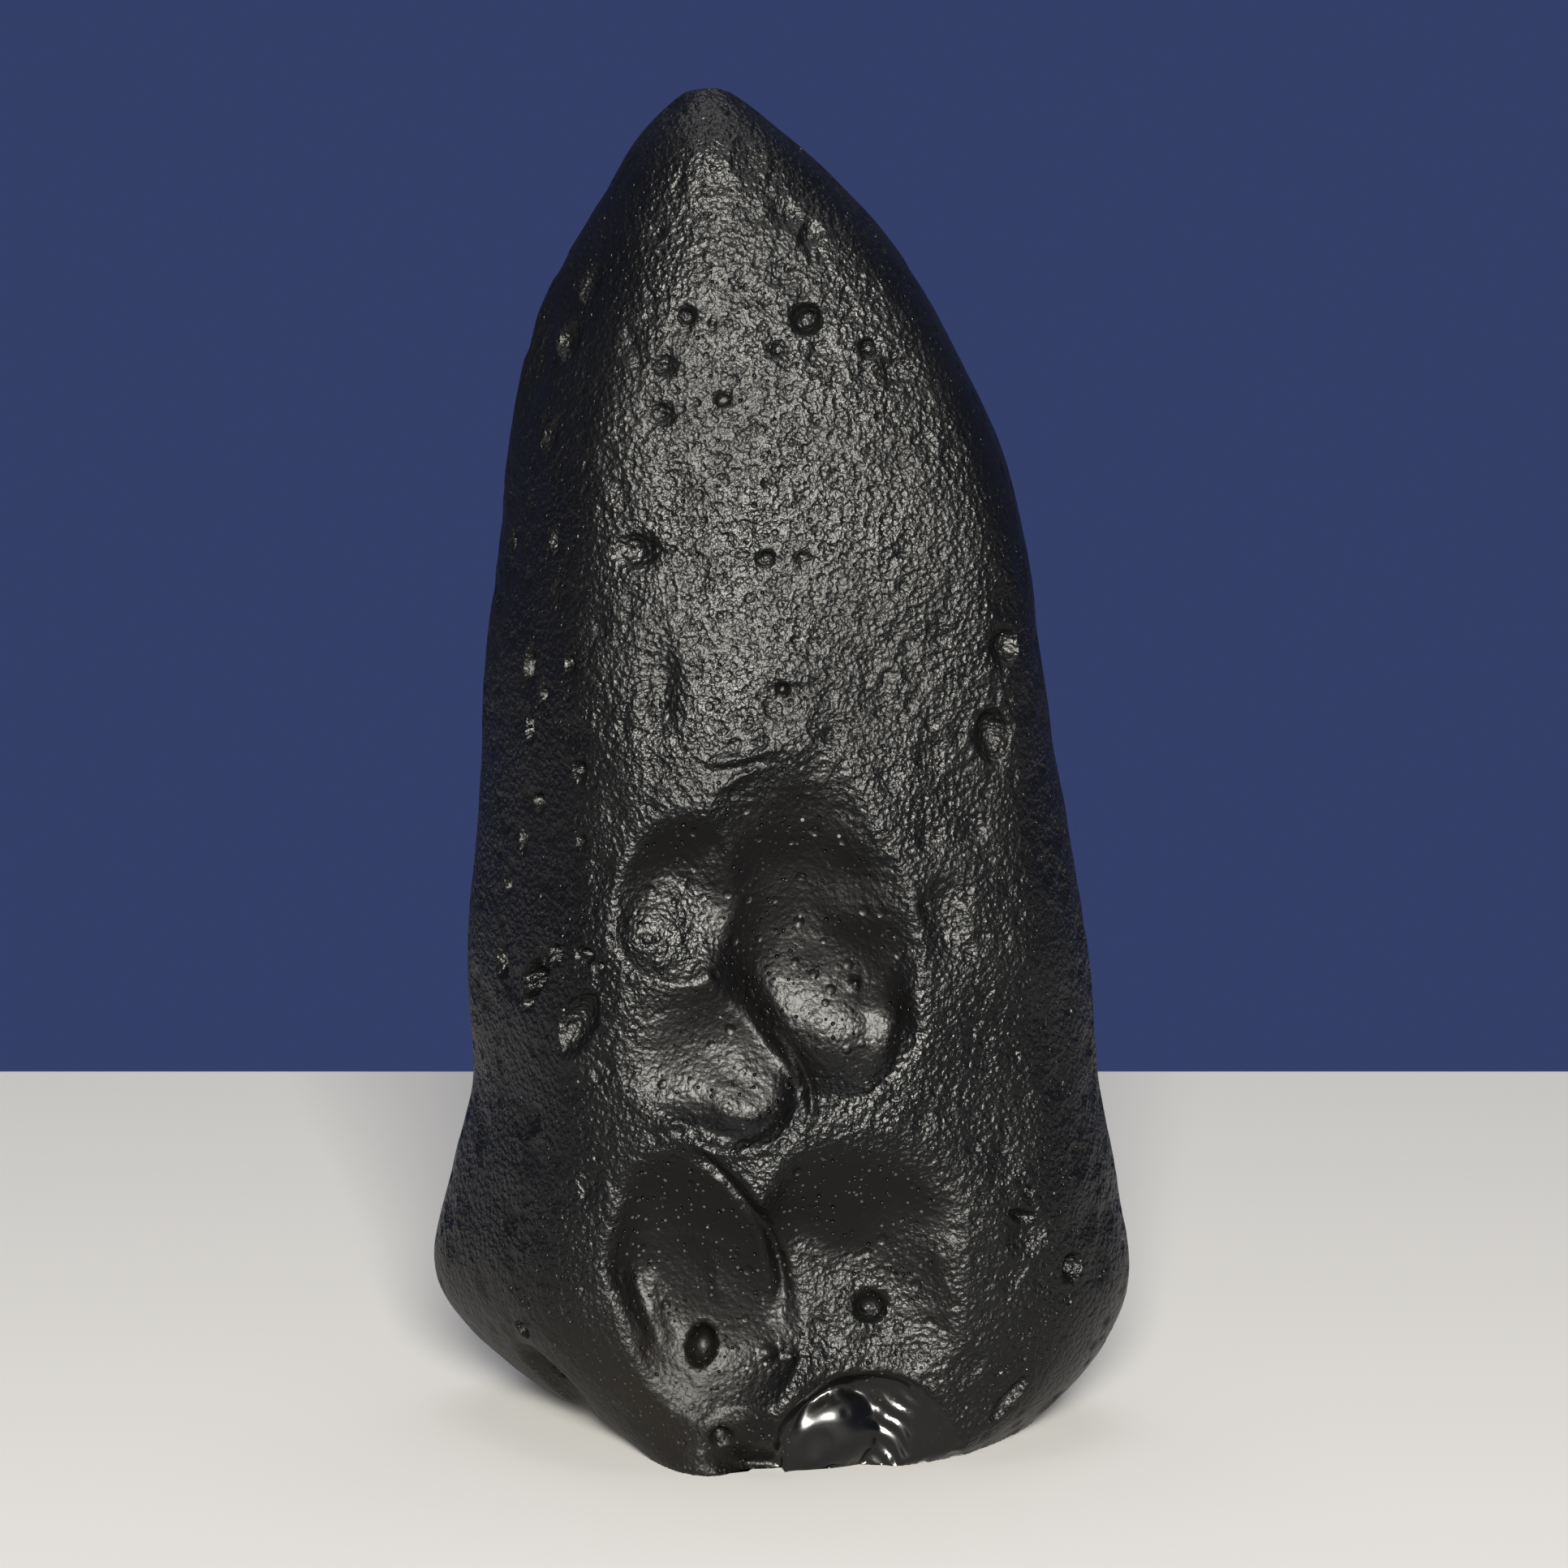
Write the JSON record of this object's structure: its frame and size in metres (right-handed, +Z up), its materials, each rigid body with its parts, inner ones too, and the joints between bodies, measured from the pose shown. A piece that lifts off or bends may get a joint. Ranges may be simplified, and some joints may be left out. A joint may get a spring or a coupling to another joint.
{
  "type": "tektite",
  "caption": "Tall black natural-glass stone with a rounded point, etched pitted skin and smooth hollows, standing on a flat broken base.",
  "frame": {"origin": "on the flat patch that the stone rests on, near the middle of that patch", "axes": "+Z up along the stone's length, +X to the right seen from the hollowed face, which looks along -Y"},
  "size_m": [0.0392, 0.0281, 0.075],
  "materials": {
    "tektite_glass": "opaque black natural glass with a half-matt etched skin, smoother satin hollows and one fresh glossy chip"
  },
  "bodies": {
    "root": {"tektite": "tektite_glass"}
  },
  "joints": []
}
